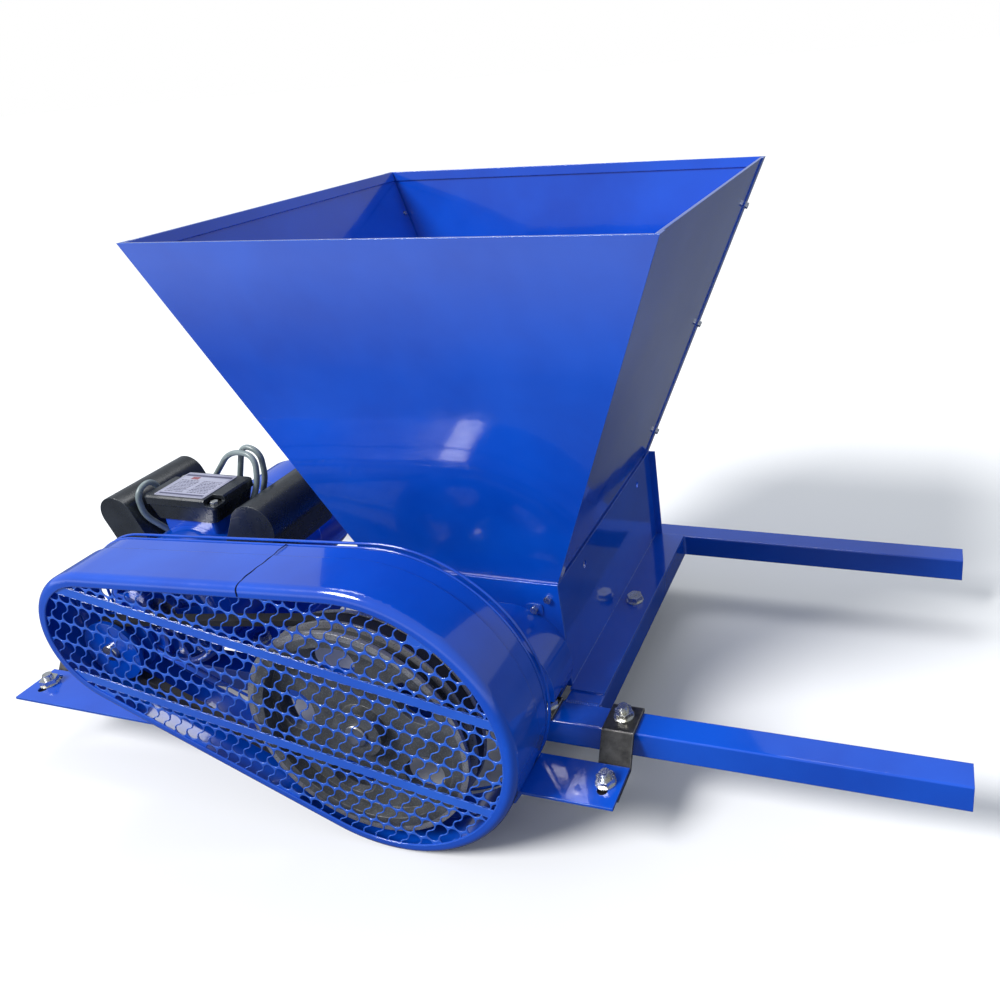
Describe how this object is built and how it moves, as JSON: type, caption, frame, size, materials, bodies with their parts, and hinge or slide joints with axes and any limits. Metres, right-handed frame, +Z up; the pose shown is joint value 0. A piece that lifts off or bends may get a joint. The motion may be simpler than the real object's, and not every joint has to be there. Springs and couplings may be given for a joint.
{
  "type": "grape crusher",
  "caption": "Electric grape crusher: flared square hopper over geared fluted rollers in a sheet body on a tube frame, belt driven by a motor behind a mesh guard.",
  "frame": {"origin": "underside of the front rail, at the middle of the crusher body", "axes": "+X along the two rails towards the longer free end, +Y from the belt guard to the back, +Z up"},
  "size_m": [1.077, 0.5391, 0.6043],
  "materials": {
    "blue_paint": "glossy enamel",
    "zinc_steel": "zinc plated",
    "shaft_steel": "turned",
    "bare_steel": "dark mill finish",
    "cast_iron": "as cast, turned rim",
    "roller_alloy": "cast",
    "laminations": "plain",
    "black_plastic": "satin",
    "belt_rubber": "matte",
    "lead_sheath": "satin",
    "plate_alloy": "printed"
  },
  "bodies": {
    "frame": {"bearing_screws": "zinc_steel", "body_crossbar_left": "blue_paint", "body_crossbar_right": "blue_paint", "body_screws": "zinc_steel", "box_lid": "black_plastic", "box_pedestal": "blue_paint", "cable_glands": "black_plastic", "capacitor_cover_left": "black_plastic", "capacitor_cover_right": "black_plastic", "capacitor_leads": "lead_sheath", "capacitors": "plate_alloy", "fan_cover": "blue_paint", "flange_bolts": "zinc_steel", "front_drive_bearing": "cast_iron", "front_driven_bearing": "cast_iron", "front_rail": "blue_paint", "front_wall": "blue_paint", "gear_cover": "blue_paint", "guard_bolts": "zinc_steel", "guard_foot_left": "blue_paint", "guard_foot_right": "blue_paint", "guard_mesh": "blue_paint", "guard_rim": "blue_paint", "guard_shell": "blue_paint", "guard_straps": "bare_steel", "hopper_back": "blue_paint", "hopper_front": "blue_paint", "hopper_left": "blue_paint", "hopper_right": "blue_paint", "motor_bearings": "shaft_steel", "motor_bolts": "zinc_steel", "motor_crossbars": "blue_paint", "motor_feet": "blue_paint", "motor_front_shield": "blue_paint", "motor_housing": "blue_paint", "motor_rear_shield": "blue_paint", "motor_screws": "zinc_steel", "motor_stator": "laminations", "nameplate": "plate_alloy", "rail_clamp": "bare_steel", "rear_drive_bearing": "cast_iron", "rear_driven_bearing": "cast_iron", "rear_rail": "blue_paint", "rear_wall": "blue_paint", "side_plate_left": "blue_paint", "side_plate_right": "blue_paint", "terminal_box": "black_plastic", "v_belt": "belt_rubber"},
    "drive": {"drive_roller": "roller_alloy", "drive_shaft": "shaft_steel", "drive_gear": "cast_iron", "large_pulley": "cast_iron", "large_pulley_screw": "zinc_steel"},
    "driven": {"driven_roller": "roller_alloy", "driven_shaft": "shaft_steel", "driven_gear": "cast_iron"},
    "rotor": {"motor_rotor": "roller_alloy", "motor_shaft": "shaft_steel", "small_pulley": "blue_paint", "motor_fan": "black_plastic"}
  },
  "joints": [
    {"name": "drive_spin", "type": "hinge", "parent": "frame", "child": "drive", "pos_m": [-0.052, 0, 0.066], "axis": [0, 1, 0], "continuous": true},
    {"name": "driven_spin", "type": "hinge", "parent": "frame", "child": "driven", "pos_m": [0.052, 0, 0.066], "axis": [0, 1, 0], "continuous": true},
    {"name": "motor_spin", "type": "hinge", "parent": "frame", "child": "rotor", "pos_m": [-0.356, 0, 0.11], "axis": [0, 1, 0], "continuous": true}
  ],
  "couplings": [
    {"joint": "driven_spin", "follows": "drive_spin", "ratio": -1},
    {"joint": "motor_spin", "follows": "drive_spin", "ratio": 3.7564}
  ]
}
